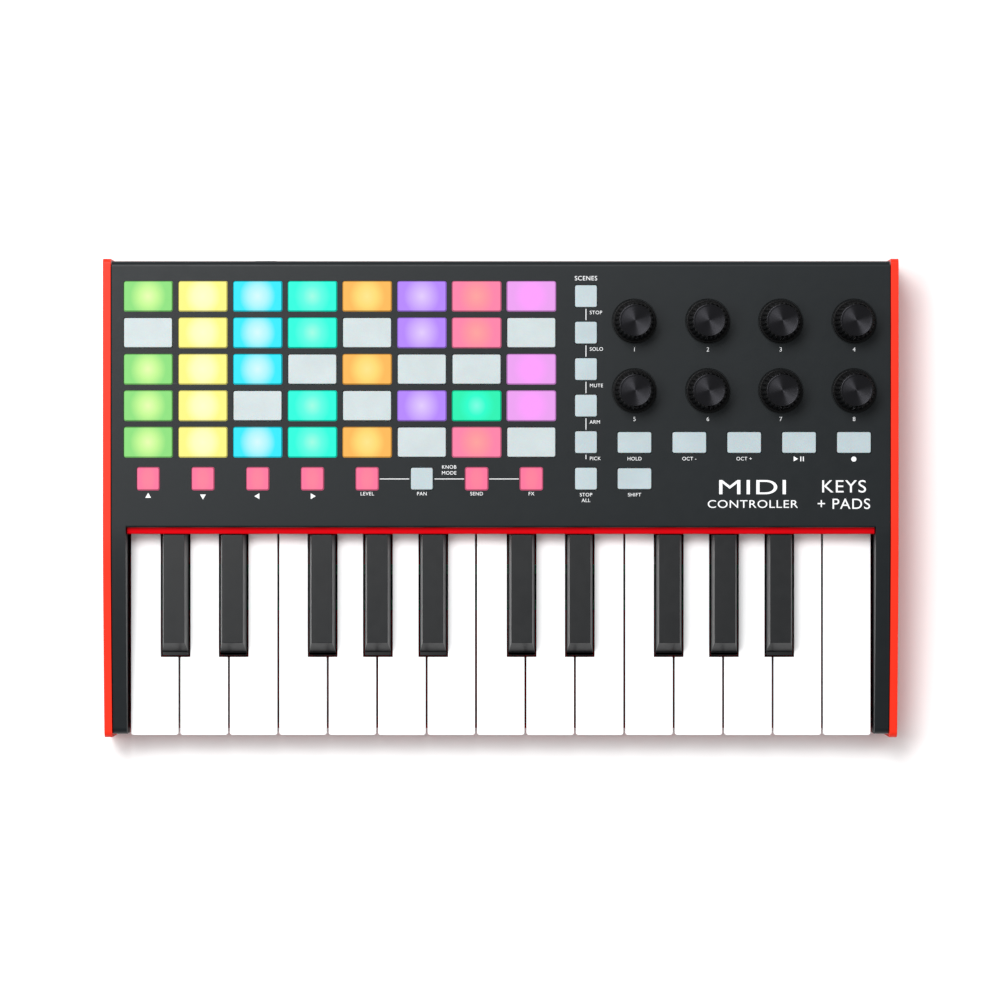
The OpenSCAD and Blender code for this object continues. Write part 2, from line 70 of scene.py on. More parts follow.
def make_active(piece: bpy.types.Object) -> None:
    """Selects one piece alone and makes it the active one."""
    deselect_all()
    piece.select_set(True)
    bpy.context.view_layer.objects.active = piece


def settle(piece: bpy.types.Object) -> None:
    """Moves a piece's place, turn and scale into its mesh."""
    make_active(piece)
    bpy.ops.object.transform_apply(location=True, rotation=True, scale=True)


def select_faces(piece: bpy.types.Object, test: Callable[[bpy.types.MeshPolygon], bool]) -> None:
    """Selects the faces that pass a test, and stays in edit mode.

    Args:
        piece: The mesh object to work on.
        test: A function of a polygon that says whether it is wanted.
    """
    make_active(piece)
    bpy.ops.object.mode_set(mode="EDIT")
    bpy.ops.mesh.select_mode(type="FACE")
    bpy.ops.mesh.select_all(action="DESELECT")
    bpy.ops.object.mode_set(mode="OBJECT")
    for face in piece.data.polygons:
        face.select = test(face)
    bpy.ops.object.mode_set(mode="EDIT")


def select_edges(piece: bpy.types.Object, test: Callable[[Vector, Vector], bool]) -> None:
    """Selects the edges whose two end points pass a test, and stays in edit mode.

    Args:
        piece: The mesh object to work on.
        test: A function of two points that says whether the edge between them is wanted.
    """
    make_active(piece)
    bpy.ops.object.mode_set(mode="EDIT")
    bpy.ops.mesh.select_mode(type="EDGE")
    bpy.ops.mesh.select_all(action="DESELECT")
    bpy.ops.object.mode_set(mode="OBJECT")
    points = piece.data.vertices
    for edge in piece.data.edges:
        edge.select = test(points[edge.vertices[0]].co, points[edge.vertices[1]].co)
    bpy.ops.object.mode_set(mode="EDIT")


def bevel_all(piece: bpy.types.Object, width: float, segments: int = 3, angle: float = 30.0) -> None:
    """Rounds a piece's sharp edges and shades it smooth.

    Args:
        piece: The mesh object to round.
        width: Width of the rounding, in metres.
        segments: Number of faces across the rounding.
        angle: Edges sharper than this many degrees are rounded.
    """
    make_active(piece)
    modifier = piece.modifiers.new("edges", "BEVEL")
    modifier.width = width
    modifier.segments = segments
    modifier.limit_method = "ANGLE"
    modifier.angle_limit = math.radians(angle)
    bpy.ops.object.modifier_apply(modifier=modifier.name)
    bpy.ops.object.shade_smooth_by_angle(angle=math.radians(38))
    weighting = piece.modifiers.new("flat faces", "WEIGHTED_NORMAL")
    weighting.keep_sharp = True
    weighting.weight = 100
    bpy.ops.object.modifier_apply(modifier=weighting.name)


def merged_copy(node: str, name: str) -> bpy.types.Object:
    """Copies a design node's mesh and merges its loose triangles into whole faces.

    Args:
        node: Name of the node.
        name: Name of the new piece.

    Returns:
        The new piece, which stands for the node and rides on its body.
    """
    source = frame["nodes"][node]
    piece = bpy.data.objects.new(name, source.data.copy())
    piece.data.name = name
    bpy.context.scene.collection.objects.link(piece)
    piece.data.materials.clear()
    make_active(piece)
    bpy.ops.mesh.customdata_custom_splitnormals_clear()
    bpy.ops.object.mode_set(mode="EDIT")
    bpy.ops.mesh.select_mode(type="VERT")
    bpy.ops.mesh.select_all(action="SELECT")
    bpy.ops.mesh.remove_doubles(threshold=0.000002)
    bpy.ops.mesh.mark_sharp(clear=True)
    bpy.ops.mesh.dissolve_limited(angle_limit=math.radians(0.4))
    bpy.ops.object.mode_set(mode="OBJECT")
    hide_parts(node)
    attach(piece, body_of(node))
    return piece


def body_of(node: str) -> str:
    """Gives the name of the body that a node belongs to."""
    bodies = frame["record"]["behaviour"]["bodies"]
    return next(body for body, members in bodies.items() if node in members)


def middle_of(node: str) -> tuple[float, float]:
    """Gives the X and Y of the middle of a node's box."""
    low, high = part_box(node)
    return (low[0] + high[0]) / 2, (low[1] + high[1]) / 2


def panel_height() -> float:
    """Gives the height of the control panel's face."""
    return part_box("top_cover")[1][2]


def place_copy(master: bpy.types.Object, name: str, offset: Vector) -> bpy.types.Object:
    """Copies a finished piece with a mesh of its own, moved by an offset.

    Args:
        master: The piece to copy.
        name: Name of the copy.
        offset: How far the copy's mesh is moved.

    Returns:
        The copy, at the origin with its place in its mesh.
    """
    copy = bpy.data.objects.new(name, master.data.copy())
    copy.data.name = name
    bpy.context.scene.collection.objects.link(copy)
    copy.data.transform(Matrix.Translation(offset))
    return copy


def join(pieces: list[bpy.types.Object], name: str) -> bpy.types.Object:
    """Joins pieces into one object.

    Args:
        pieces: The pieces, the first of which stays.
        name: Name of the result.

    Returns:
        The joined object.
    """
    deselect_all()
    for piece in pieces:
        piece.select_set(True)
    bpy.context.view_layer.objects.active = pieces[0]
    if len(pieces) > 1:
        bpy.ops.object.join()
    pieces[0].name = name
    pieces[0].data.name = name
    return pieces[0]


def dress(piece: bpy.types.Object, material: bpy.types.Material) -> None:
    """Gives a piece one material all over."""
    piece.data.materials.clear()
    piece.data.materials.append(material)


# ---------------------------------------------------------------- finishes


@dataclass
class Wiring:
    """A material's node tree with short ways to add and join nodes."""

    name: str
    material: bpy.types.Material = field(init=False)
    shader: bpy.types.Node = field(init=False)

    def __post_init__(self) -> None:
        """Starts the material with its shader alone."""
        self.material = bpy.data.materials.new(self.name)
        self.material.use_nodes = True
        self.shader = self.material.node_tree.nodes["Principled BSDF"]

    def add(self, kind: str, **settings) -> bpy.types.Node:
        """Adds a node and sets its properties.

        Args:
            kind: Blender's name of the node type.
            **settings: Properties of the node.

        Returns:
            The node.
        """
        node = self.material.node_tree.nodes.new(kind)
        for key, value in settings.items():
            setattr(node, key, value)
        return node

    def link(self, source: bpy.types.NodeSocket, target: bpy.types.NodeSocket) -> None:
        """Joins two sockets."""
        self.material.node_tree.links.new(source, target)

    def noise(self, scale: float, detail: float = 3.0) -> bpy.types.NodeSocket:
        """Adds noise on the piece's own coordinates.

        Args:
            scale: Number of features per metre.
            detail: Octaves of finer noise.

        Returns:
            The noise's value.
        """
        place = self.add("ShaderNodeTexCoord")
        noise = self.add("ShaderNodeTexNoise")
        noise.inputs["Scale"].default_value = scale
        noise.inputs["Detail"].default_value = detail
        self.link(place.outputs["Object"], noise.inputs["Vector"])
        return noise.outputs["Fac"]

    def ramp(self, value: bpy.types.NodeSocket, stops: list[tuple[float, Color]]) -> bpy.types.NodeSocket:
        """Adds a colour ramp.

        Args:
            value: What drives the ramp.
            stops: Places and colours.

        Returns:
            The ramp's colour.
        """
        ramp = self.add("ShaderNodeValToRGB")
        while len(ramp.color_ramp.elements) < len(stops):
            ramp.color_ramp.elements.new(0.5)
        for element, (place, color) in zip(ramp.color_ramp.elements, stops):
            element.position = place
            element.color = (*color, 1.0)
        self.link(value, ramp.inputs["Fac"])
        return ramp.outputs["Color"]

    def bump(self, height: bpy.types.NodeSocket, depth: float, strength: float = 1.0) -> None:
        """Adds a bump to the shader's normal.

        Args:
            height: The height pattern.
            depth: Depth of the pattern in metres.
            strength: Share of the bump that is used.
        """
        bump = self.add("ShaderNodeBump")
        bump.inputs["Distance"].default_value = depth
        bump.inputs["Strength"].default_value = strength
        self.link(height, bump.inputs["Height"])
        self.link(bump.outputs["Normal"], self.shader.inputs["Normal"])

    def rough(self, value: bpy.types.NodeSocket, low: float, high: float) -> None:
        """Lets a pattern vary the roughness between two values."""
        span = self.add("ShaderNodeMapRange")
        span.inputs["To Min"].default_value = low
        span.inputs["To Max"].default_value = high
        self.link(value, span.inputs["Value"])
        self.link(span.outputs["Result"], self.shader.inputs["Roughness"])


def shade(color: Color, factor: float) -> Color:
    """Makes a colour lighter or darker by a factor."""
    return tuple(min(1.0, c * factor) for c in color)


@dataclass(frozen=True)
class MouldedPlastic:
    """Moulded plastic with spark-eroded grain, faint mottling and uneven gloss."""

    name: str
    color: Color
    roughness: float = 0.5
    grain: float = 3200.0
    grain_depth: float = 0.00002
    mottle: float = 0.08
    coat: float = 0.0
    shine: float = 0.4
    grain_share: float = 0.6
    mottle_scale: float = 45.0
    gloss_scale: float = 260.0
    gloss_spread: float = 0.07
    coat_roughness: float = 0.12

    def build(self) -> bpy.types.Material:
        """Builds the material.

        Returns:
            The finished material.
        """
        wiring = Wiring(self.name)
        broad = wiring.noise(self.mottle_scale, 4.0)
        color = wiring.ramp(broad, [(0.3, shade(self.color, 1 - self.mottle)),
                                    (0.7, shade(self.color, 1 + self.mottle))])
        wiring.link(color, wiring.shader.inputs["Base Color"])
        wiring.rough(wiring.noise(self.gloss_scale, 5.0),
                     self.roughness - self.gloss_spread, self.roughness + self.gloss_spread)
        wiring.bump(wiring.noise(self.grain, 2.0), self.grain_depth, self.grain_share)
        wiring.shader.inputs["Specular IOR Level"].default_value = self.shine
        wiring.shader.inputs["Coat Weight"].default_value = self.coat
        wiring.shader.inputs["Coat Roughness"].default_value = self.coat_roughness
        return wiring.material


@dataclass(frozen=True)
class PlatedMetal:
    """Plated sheet or bar metal with fine handling marks."""

    name: str
    color: Color
    roughness: float = 0.3
    tarnish_scale: float = 300.0
    gloss_scale: float = 900.0
    mark_scale: float = 2600.0
    mark_depth: float = 0.00001

    def build(self) -> bpy.types.Material:
        """Builds the material.

        Returns:
            The finished material.
        """
        wiring = Wiring(self.name)
        tone = wiring.ramp(wiring.noise(self.tarnish_scale, 6.0),
                           [(0.35, shade(self.color, 0.88)), (0.65, self.color)])
        wiring.link(tone, wiring.shader.inputs["Base Color"])
        wiring.shader.inputs["Metallic"].default_value = 1.0
        wiring.rough(wiring.noise(self.gloss_scale, 4.0), self.roughness - 0.08, self.roughness + 0.12)
        wiring.bump(wiring.noise(self.mark_scale, 3.0), self.mark_depth, 0.4)
        return wiring.material


@dataclass(frozen=True)
class CircuitBoard:
    """Green solder mask with faint copper tracks beneath it."""

    name: str = "solder_mask"
    color: Color = (0.008, 0.09, 0.03)
    track_scale: float = 180.0
    track_width: float = 0.06
    track_depth: float = 0.00003

    def build(self) -> bpy.types.Material:
        """Builds the material.

        Returns:
            The finished material.
        """
        wiring = Wiring(self.name)
        place = wiring.add("ShaderNodeTexCoord")
        bricks = wiring.add("ShaderNodeTexBrick")
        bricks.inputs["Scale"].default_value = self.track_scale
        bricks.inputs["Mortar Size"].default_value = self.track_width
        bricks.inputs["Color1"].default_value = (*self.color, 1.0)
        bricks.inputs["Color2"].default_value = (*shade(self.color, 1.35), 1.0)
        bricks.inputs["Mortar"].default_value = (*shade(self.color, 2.2), 1.0)
        wiring.link(place.outputs["Object"], bricks.inputs["Vector"])
        wiring.link(bricks.outputs["Color"], wiring.shader.inputs["Base Color"])
        wiring.rough(wiring.noise(400.0), 0.22, 0.36)
        wiring.bump(bricks.outputs["Fac"], self.track_depth, 0.5)
        return wiring.material


@dataclass(frozen=True)
class SpunCap:
    """Lathe-turned cap whose fine rings stretch each highlight across the disc."""

    name: str = "spun_cap"
    color: Color = (0.019, 0.019, 0.022)
    ring_radians: float = 90.0  # phase of the ring pattern at the cap's rim
    ring_depth: float = 0.00001
    metallic: float = 0.9
    roughness: float = 0.34
    stretch: float = 0.95

    def build(self) -> bpy.types.Material:
        """Builds the material, which reads the cap's own flat UV map.

        Returns:
            The finished material.
        """
        wiring = Wiring(self.name)
        place = wiring.add("ShaderNodeUVMap", uv_map="UVMap")
        wiring.link(place.outputs["UV"], wiring.shader.inputs["Tangent"])
        radius = wiring.add("ShaderNodeVectorMath", operation="LENGTH")
        wiring.link(place.outputs["UV"], radius.inputs[0])
        rings = wiring.add("ShaderNodeMath", operation="SINE")
        pitch = wiring.add("ShaderNodeMath", operation="MULTIPLY")
        pitch.inputs[1].default_value = self.ring_radians
        wiring.link(radius.outputs["Value"], pitch.inputs[0])
        wiring.link(pitch.outputs["Value"], rings.inputs[0])
        tone = wiring.ramp(rings.outputs["Value"],
                           [(0.0, shade(self.color, 0.7)), (1.0, shade(self.color, 1.3))])
        wiring.link(tone, wiring.shader.inputs["Base Color"])
        wiring.bump(rings.outputs["Value"], self.ring_depth, 0.35)
        wiring.shader.inputs["Metallic"].default_value = self.metallic
        wiring.shader.inputs["Roughness"].default_value = self.roughness
        wiring.shader.inputs["Anisotropic"].default_value = self.stretch
        return wiring.material


class Glow(enum.Enum):
    """Colours of a lit pad or button over its lamp, halfway out and at its edge, in linear light."""

    GREEN = ((0.78, 0.97, 0.41), (0.52, 0.91, 0.27), (0.25, 0.73, 0.19))
    YELLOW = ((0.99, 0.97, 0.57), (0.99, 0.96, 0.48), (0.99, 0.91, 0.22))
    BLUE = ((0.65, 0.92, 0.98), (0.39, 0.88, 0.98), (0.01, 0.81, 0.95))
    TEAL = ((0.32, 0.98, 0.74), (0.09, 0.97, 0.74), (0.0, 0.97, 0.7))
    ORANGE = ((0.99, 0.76, 0.24), (0.98, 0.68, 0.15), (0.98, 0.47, 0.08))
    PURPLE = ((0.73, 0.57, 0.97), (0.59, 0.39, 0.98), (0.44, 0.22, 0.96))
    RED = ((0.98, 0.34, 0.32), (0.98, 0.27, 0.33), (0.98, 0.21, 0.38))
    MAGENTA = ((0.96, 0.33, 0.98), (0.96, 0.33, 0.97), (0.83, 0.34, 0.87))
    EMERALD = ((0.17, 0.98, 0.73), (0.0, 0.97, 0.58), (0.0, 0.87, 0.43))
    PINK = ((0.98, 0.21, 0.32), (0.98, 0.2, 0.32), (0.97, 0.17, 0.33))


def silicone_surface(wiring: Wiring) -> None:
    """Gives a material the matt, finely grained surface of moulded silicone."""
    wiring.rough(wiring.noise(500.0, 3.0), 0.42, 0.58)
    wiring.bump(wiring.noise(3600.0, 2.0), 0.00002, 0.5)


@dataclass(frozen=True)
class LitSilicone:
    """Translucent silicone with a lamp below it, brightest over the lamp; the copy for side faces glows
    weaker, as painted shade along the edges.
    """

    glow: Glow
    power: float = 0.69
    # side faces glow weaker: painted shade along the key tops' edges
    side_power: float = 0.3
    is_side: bool = False
    cloud_scale: float = 240.0
    cloud_share: float = 0.04
    base_share: float = 0.22
    shine: float = 0.25

    def build(self) -> bpy.types.Material:
        """Builds the material, which reads the key top's own UV map.

        Returns:
            The finished material.
        """
        wiring = Wiring(f"lit_{self.glow.name.lower()}" + ("_side" if self.is_side else ""))
        middle, body, edge = self.glow.value
        place = wiring.add("ShaderNodeUVMap", uv_map="UVMap")
        radius = wiring.add("ShaderNodeVectorMath", operation="LENGTH")
        wiring.link(place.outputs["UV"], radius.inputs[0])
        cloud = wiring.add("ShaderNodeMath", operation="MULTIPLY_ADD")
        cloud.inputs[1].default_value = self.cloud_share
        wiring.link(wiring.noise(self.cloud_scale, 2.0), cloud.inputs[0])
        wiring.link(radius.outputs["Value"], cloud.inputs[2])
        color = wiring.ramp(cloud.outputs["Value"], [(0.02, middle), (0.41, body), (0.77, edge)])
        base = wiring.add("ShaderNodeMix", data_type="RGBA", blend_type="MULTIPLY")
        base.inputs["Factor"].default_value = 1.0
        base.inputs["B"].default_value = (self.base_share, self.base_share, self.base_share, 1.0)
        wiring.link(color, base.inputs["A"])
        wiring.link(base.outputs["Result"], wiring.shader.inputs["Base Color"])
        wiring.link(color, wiring.shader.inputs["Emission Color"])
        power = self.side_power if self.is_side else self.power
        wiring.shader.inputs["Emission Strength"].default_value = power
        wiring.shader.inputs["Specular IOR Level"].default_value = self.shine
        silicone_surface(wiring)
        return wiring.material


@dataclass(frozen=True)
class PlainSilicone:
    """Unlit grey silicone, faintly clouded and softened by light that passes under its surface."""

    name: str = "unlit_silicone"
    color: Color = (0.44, 0.50, 0.51)
    cloud_scale: float = 120.0
    depth_share: float = 0.15
    light_depth: float = 2 * MM

    def build(self) -> bpy.types.Material:
        """Builds the material.

        Returns:
            The finished material.
        """
        wiring = Wiring(self.name)
        tone = wiring.ramp(wiring.noise(self.cloud_scale, 4.0),
                           [(0.3, shade(self.color, 0.95)), (0.7, shade(self.color, 1.03))])
        wiring.link(tone, wiring.shader.inputs["Base Color"])
        wiring.shader.inputs["Subsurface Weight"].default_value = self.depth_share
        wiring.shader.inputs["Subsurface Scale"].default_value = self.light_depth
        silicone_surface(wiring)
        return wiring.material


class Finishes:
    """Every finish of the keyboard, built once."""

    def __init__(self) -> None:
        """Builds the materials."""
        self.cover = MouldedPlastic(
            "charcoal_grain", (0.0036, 0.0062, 0.0078), 0.42, 3400.0, 0.00003, 0.06, shine=0.23).build()
        self.case_red = MouldedPlastic(
            "case_red_grain", (0.52, 0.006, 0.008), 0.5, 2800.0, shine=0.2).build()
        self.cheek_red = MouldedPlastic(
            "cheek_red_satin", (0.80, 0.026, 0.008), 0.42, 3000.0, 0.00001, 0.04, shine=0.16).build()
        self.trim_red = MouldedPlastic(
            "trim_red_smooth", (0.60, 0.0012, 0.005), 0.3, 2000.0, 0.00001, 0.05, shine=0.05).build()
        self.white_key = MouldedPlastic(
            "white_key_gloss", (0.95, 0.95, 0.955), 0.24, 900.0, 0.000004, 0.01, 0.3).build()
        self.black_key = MouldedPlastic(
            "black_key_grain", (0.0045, 0.0054, 0.0064), 0.38, 3600.0, 0.00003, 0.1, shine=0.32).build()
        self.knob_grip = MouldedPlastic(
            "knob_rubberised", (0.0012, 0.0012, 0.0015), 0.32, 3000.0, 0.00002, 0.1, shine=0.13).build()
        self.knob_cap = SpunCap().build()
        self.print_white = MouldedPlastic(
            "legend_white", (0.80, 0.81, 0.82), 0.6, 5000.0, 0.000004, 0.03).build()
        self.steel = PlatedMetal("zinc_steel", (0.62, 0.62, 0.63), 0.32).build()
        self.nickel = PlatedMetal("socket_nickel", (0.72, 0.71, 0.69), 0.26).build()
        self.nylon = MouldedPlastic("jack_nylon", (0.018, 0.018, 0.02), 0.36, 1500.0).build()
        self.rubber = MouldedPlastic("foot_rubber", (0.014, 0.014, 0.014), 0.8, 1800.0, 0.00005).build()
        self.felt = MouldedPlastic("felt_nap", (0.22, 0.012, 0.014), 0.95, 1500.0, 0.0003, 0.25).build()
        self.film = MouldedPlastic("ribbon_film", (0.6, 0.6, 0.55), 0.35, 900.0).build()
        self.board = CircuitBoard().build()
        self.unlit_pad = PlainSilicone().build()
        self.unlit_button = PlainSilicone("unlit_button_silicone", (0.39, 0.465, 0.49)).build()
        self.mat = PlainSilicone("mat_silicone", (0.45, 0.47, 0.48)).build()
        self.lit_tops = {glow: LitSilicone(glow).build() for glow in Glow}
        # dimmer copies for the side faces: painted shade along the key tops' edges
        self.lit_sides = {glow: LitSilicone(glow, is_side=True).build() for glow in Glow}


# ---------------------------------------------------------------- the case


@dataclass
class CaseShell:
    """The case halves, the end cheeks, the trim strip and the parts seen through them."""

    finishes: Finishes
    cover_edge: float = 0.35 * MM
    cheek_edge: float = 0.6 * MM
    case_edge: float = 0.5 * MM
    trim_edge: float = 0.25 * MM
    foot_edge: float = 0.4 * MM
    jack_edge: float = 0.3 * MM
    socket_edge: float = 0.2 * MM

    def build(self) -> None:
        """Rounds the outer shells and dresses the inner nodes."""
        shells = [
            ("top_cover", "top_cover_shell", self.cover_edge, self.finishes.cover, "cover_black"),
            ("rear_panel", "rear_wall_panel", self.cover_edge, self.finishes.cover, "cover_black"),
            ("key_blocks", "key_block_pair", self.cover_edge, self.finishes.cover, "cover_black"),
            ("bottom_case", "bottom_case_tray", self.case_edge, self.finishes.case_red, "case_red"),
            ("left_cheek", "left_end_cheek", self.cheek_edge, self.finishes.cheek_red, "cheek_red"),
            ("right_cheek", "right_end_cheek", self.cheek_edge, self.finishes.cheek_red, "cheek_red"),
            ("key_trim", "key_trim_strip", self.trim_edge, self.finishes.trim_red, "trim_red"),
            ("rubber_feet", "rubber_foot_set", self.foot_edge, self.finishes.rubber, "foot_rubber"),
            ("sustain_jack", "sustain_jack_body", self.jack_edge, self.finishes.nylon, "jack_black"),
            ("usb_socket", "usb_socket_shell", self.socket_edge, self.finishes.nickel, "socket_metal"),
        ]
        for node, name, width, material, slot in shells:
            piece = merged_copy(node, name)
            bevel_all(piece, width)
            dress(piece, material)
            LOG.info("shell %s: %d faces", name, len(piece.data.polygons))
        self.dress_nodes()

    def dress_nodes(self) -> None:
        """Gives each inner design node its own finish."""
        looks = {
            "key_chassis": self.finishes.case_red, "key_pivot_rod": self.finishes.steel,
            "key_contact_strip": self.finishes.rubber, "key_felts": self.finishes.felt,
            "circuit_boards": self.finishes.board, "encoders": self.finishes.steel,
            "silicone_mats": self.finishes.mat, "ribbon_cables": self.finishes.film,
            "screws": self.finishes.steel,
        }
        for node, material in looks.items():
            for slot in frame["nodes"][node].material_slots:
                slot.material = material
            LOG.info("dressed %s", node)


# ---------------------------------------------------------------- keys


@dataclass
class KeyBed:
    """The white and black keys, with the rounded edges of moulded keys."""

    finishes: Finishes
    white_edge: float = 0.35 * MM
    black_edge: float = 0.55 * MM

    def build(self) -> None:
        """Rounds and dresses each key."""
        names = [n for n in frame["nodes"] if n.startswith("key_") and n[-1].isdigit()]
        for node in sorted(names):
            black = "sharp" in node
            piece = merged_copy(node, node.replace("key_", "piano_key_"))
            bevel_all(piece, self.black_edge if black else self.white_edge)
            dress(piece, self.finishes.black_key if black else self.finishes.white_key)
        LOG.info("%d keys", len(names))


# ---------------------------------------------------------------- pads and buttons


@dataclass
class SiliconeTop:
    """A silicone key top on a wider flange, modelled once for each size."""

    width: float
    depth: float
    low: float
    high: float
    flange_top: float
    flange: float = 0.6 * MM
    corner: float = 0.7 * MM
    cavity: float = 1.5 * MM
    roof: float = 0.8 * MM
    edge: float = 0.25 * MM

    def build(self, name: str) -> bpy.types.Object:
        """Models the key top around the vertical axis through the origin.

        Args:
            name: Name of the piece.

        Returns:
            The piece, with a flat UV map that runs from -1 to 1 along its width.
        """
        deselect_all()
        middle = (self.flange_top + self.high) / 2
        bpy.ops.mesh.primitive_cube_add(size=1, location=(0, 0, middle),
                                        scale=(self.width, self.depth, self.high - self.flange_top))
        piece = bpy.context.object
        piece.name = name
        settle(piece)
        select_edges(piece, lambda a, b: abs(a.z - b.z) > (self.high - self.flange_top) / 2)
        bpy.ops.mesh.bevel(offset=self.corner, segments=5, profile=0.5)
        bpy.ops.object.mode_set(mode="OBJECT")
        # flange: the underside grows outwards, then down
        select_faces(piece, lambda f: f.normal.z < -0.5)
        self.step_face(self.flange, self.flange_top)
        bpy.ops.mesh.extrude_region_move(
            TRANSFORM_OT_translate={"value": (0, 0, self.low - self.flange_top)})
        # hollow underside over the lamp
        self.step_face(-self.cavity, self.low, self.flange)
        bpy.ops.mesh.extrude_region_move(
            TRANSFORM_OT_translate={"value": (0, 0, self.flange_top - self.low - self.roof)})
        bpy.ops.object.mode_set(mode="OBJECT")
        bevel_all(piece, self.edge, angle=50)
        self.map_top(piece)
        return piece

    def step_face(self, grow: float, height: float, start: float = 0.0) -> None:
        """Adds a ring inside or outside the selected flat face.

        Args:
            grow: How far the new outline stands outside the old one, or inside it if negative.
            height: Height of the face.
            start: How far the old outline already stands outside the key top.
        """
        old = (self.width + 2 * start, self.depth + 2 * start)
        new = (old[0] + 2 * grow, old[1] + 2 * grow)
        bpy.ops.mesh.extrude_region_move(TRANSFORM_OT_translate={"value": (0, 0, 0)})
        bpy.ops.transform.resize(value=(new[0] / old[0], new[1] / old[1], 1),
                                 center_override=(0, 0, height))

    def map_top(self, piece: bpy.types.Object) -> None:
        """Writes the flat UV map that the glow reads, in which the light spreads evenly along Y."""
        layer = piece.data.uv_layers.get("UVMap") or piece.data.uv_layers.new(name="UVMap")
        for loop in piece.data.loops:
            point = piece.data.vertices[loop.vertex_index].co
            layer.data[loop.index].uv = (2 * point.x / self.width, 1.1 * point.y / self.depth)


@dataclass
class ControlSurface:
    """The pad grid and the small buttons, each piece riding on its row's or group's body."""

    finishes: Finishes
    columns: int = 8
    rows: int = 5
    wide_count: int = 5
    unlit_track: int = 6
    flange: float = 0.6 * MM
    skin_t: float = 2.4 * MM
    skin_gap: float = 0.2 * MM
    pad_size: tuple[float, float] = (18.7 * MM, 11.4 * MM)
    button_side: float = 8.5 * MM
    wide_size: tuple[float, float] = (13.1 * MM, 8.1 * MM)

    def rows_of_light(self) -> list[list[Glow | None]]:
        """Gives the pads' colours, rear row first, with None for an unlit pad."""
        letters = {"g": Glow.GREEN, "y": Glow.YELLOW, "b": Glow.BLUE, "t": Glow.TEAL, "o": Glow.ORANGE,
                   "p": Glow.PURPLE, "r": Glow.RED, "m": Glow.MAGENTA, "e": Glow.EMERALD, "-": None}
        rows = ["gybtoprm", "-ybt-pr-", "gyb-o--m", "gy-t-pem", "gybto-r-"]
        return [[letters[letter] for letter in row] for row in rows]

    def heights(self, node: str) -> tuple[float, float, float]:
        """Gives the underside, top and flange top of a node's key tops."""
        low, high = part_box(node)
        return low[2], high[2], panel_height() - self.skin_t - self.skin_gap

    def column_centers(self) -> list[float]:
        """Gives the X of each pad column, from the rear row's box."""
        low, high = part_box("pad_row_1")
        first = low[0] + self.flange + self.pad_size[0] / 2
        last = high[0] - self.flange - self.pad_size[0] / 2
        return [first + (last - first) * c / (self.columns - 1) for c in range(self.columns)]

    def row_centers(self) -> list[float]:
        """Gives the Y of each pad row, rear row first."""
        return [middle_of(f"pad_row_{row}")[1] for row in range(1, self.rows + 1)]

    def wide_centers(self) -> list[float]:
        """Gives the X of each wide button, from the group's box."""
        low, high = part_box("function_buttons")
        first = low[0] + self.flange + self.wide_size[0] / 2
        last = high[0] - self.flange - self.wide_size[0] / 2
        return [first + (last - first) * i / (self.wide_count - 1) for i in range(self.wide_count)]

    def build(self) -> None:
        """Builds the pads and every group of buttons."""
        low, high, flange_top = self.heights("pad_row_1")
        pad = SiliconeTop(*self.pad_size, low, high, flange_top).build("pad_master")
        for row, lights in enumerate(self.rows_of_light(), start=1):
            node = f"pad_row_{row}"
            y = middle_of(node)[1]
            for column, (x, glow) in enumerate(zip(self.column_centers(), lights), start=1):
                piece = place_copy(pad, f"pad_{row}_{column}", Vector((x, y, 0)))
                self.finish(piece, node, "pad_silicone", glow)
        bpy.data.objects.remove(pad)
        LOG.info("pads built")
        self.build_buttons()

    def finish(self, piece: bpy.types.Object, node: str, slot: str, glow: Glow | None) -> None:
        """Dresses a key top, lit or unlit, and ties it to its body and node.

        Args:
            piece: The key top.
            node: Name of its design node, which is its body's name too.
            slot: Name of its material slot.
            glow: Its colour, or None where its lamp is off.
        """
        unlit = self.finishes.unlit_pad if slot == "pad_silicone" else self.finishes.unlit_button
        dress(piece, self.finishes.lit_tops[glow] if glow else unlit)
        if glow:
            piece.data.materials.append(self.finishes.lit_sides[glow])
            # side faces take the dimmer copy: painted shade along the edges of lit key tops
            for face in piece.data.polygons:
                face.material_index = 0 if face.normal.z > 0.8 else 1
        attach(piece, node)
        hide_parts(node)

    def build_buttons(self) -> None:
        """Builds the square and rectangular buttons."""
        low, high, flange_top = self.heights("track_buttons")
        side = self.button_side
        square = SiliconeTop(side, side, low, high, flange_top).build("square_master")
        wide = SiliconeTop(*self.wide_size, low, high, flange_top).build("wide_master")
        track_y = middle_of("track_buttons")[1]
        for index, x in enumerate(self.column_centers(), start=1):
            piece = place_copy(square, f"track_button_{index}", Vector((x, track_y, 0)))
            glow = None if index == self.unlit_track else Glow.PINK
            self.finish(piece, "track_buttons", "button_silicone", glow)
        soft_x = middle_of("soft_buttons")[0]
        for index, y in enumerate(self.row_centers() + [track_y], start=1):
            piece = place_copy(square, f"soft_button_{index}", Vector((soft_x, y, 0)))
            self.finish(piece, "soft_buttons", "button_silicone", None)
        wide_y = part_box("function_buttons")[1][1] - self.flange - self.wide_size[1] / 2
        for index, x in enumerate(self.wide_centers(), start=1):
            piece = place_copy(wide, f"function_button_{index}", Vector((x, wide_y, 0)))
            self.finish(piece, "function_buttons", "button_silicone", None)
        piece = place_copy(wide, "shift_button", Vector((self.wide_centers()[0], track_y, 0)))
        self.finish(piece, "function_buttons", "button_silicone", None)
        bpy.data.objects.remove(square)
        bpy.data.objects.remove(wide)
        LOG.info("buttons built")


# ---------------------------------------------------------------- knobs


